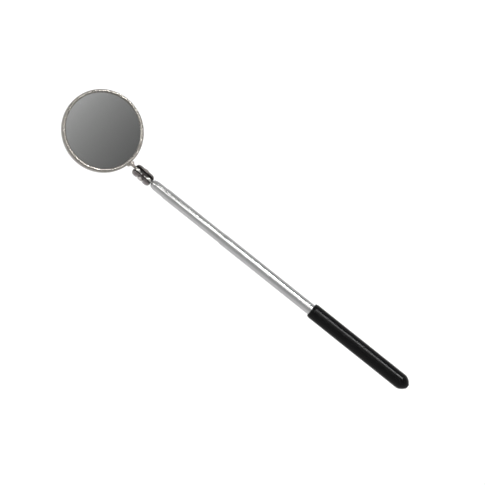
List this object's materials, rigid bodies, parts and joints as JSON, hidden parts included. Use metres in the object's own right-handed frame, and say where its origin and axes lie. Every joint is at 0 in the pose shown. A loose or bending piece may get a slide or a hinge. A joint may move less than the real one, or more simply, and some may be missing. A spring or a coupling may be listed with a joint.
{
  "type": "inspection mirror",
  "caption": "Round mirror in a rolled metal case on a clamped double ball joint, with a telescoping tube handle and a black vinyl grip.",
  "frame": {"origin": "centre of the small flat at the closed end of the grip", "axes": "+X along the handle towards the mirror, +Z the way that the mirror faces at rest, Y along the clamp screw to within 3 degrees"},
  "size_m": [0.3034, 0.0583, 0.017],
  "materials": {
    "grip_vinyl": "glossy moulded vinyl",
    "tube_steel": "bright drawn and plated tube with fine lengthwise lines",
    "plug_nylon": "moulded nylon, hidden in the grip",
    "shoe_brass": "burnished, hidden in the tube",
    "ball_steel": "polished",
    "clamp_steel": "dark nickel plate",
    "case_nickel": "nickel plate, satin",
    "glass_silvered": "silvered glass",
    "pad_fibre": "felt and fibre pad, hidden under the glass"
  },
  "bodies": {
    "handle": {"vinyl_grip": "grip_vinyl", "outer_tube": "tube_steel", "tube_end_plug": "plug_nylon"},
    "friction_slider": {"friction_shoe_left": "shoe_brass", "friction_shoe_right": "shoe_brass"},
    "inner_section": {"inner_tube": "tube_steel", "ball_shank": "tube_steel", "rear_ball": "ball_steel"},
    "ball_clamp": {"clamp_plate_nut_side": "clamp_steel", "clamp_plate_head_side": "clamp_steel", "clamp_screw": "clamp_steel", "lock_washer": "clamp_steel", "clamp_nut": "clamp_steel"},
    "front_pivot": {"front_ball": "ball_steel"},
    "mirror_head": {"mirror_case": "case_nickel", "mirror_glass": "glass_silvered", "backing_pad": "pad_fibre", "stem_bracket": "case_nickel", "bracket_rivet_1": "case_nickel", "bracket_rivet_2": "case_nickel", "mirror_stem": "case_nickel"}
  },
  "joints": [
    {"name": "telescope_slide", "type": "slide", "parent": "handle", "child": "friction_slider", "axis": [1, 0, 0], "range_m": [-0.056, 0.062]},
    {"name": "tube_spin", "type": "hinge", "parent": "friction_slider", "child": "inner_section", "pos_m": [0.092, 0, 0], "axis": [1, 0, 0], "continuous": true},
    {"name": "rear_swing", "type": "hinge", "parent": "inner_section", "child": "ball_clamp", "pos_m": [0.2292, 0, 0], "axis": [0.0436, 0.999, 0], "range_deg": [-60, 95]},
    {"name": "front_swing", "type": "hinge", "parent": "ball_clamp", "child": "front_pivot", "pos_m": [0.23829, -0.0004, 0], "axis": [0.0436, 0.999, 0], "range_deg": [-65, 93]},
    {"name": "mirror_spin", "type": "hinge", "parent": "front_pivot", "child": "mirror_head", "pos_m": [0.23829, -0.0004, 0], "axis": [0.9806, -0.1353, 0.142], "continuous": true}
  ]
}
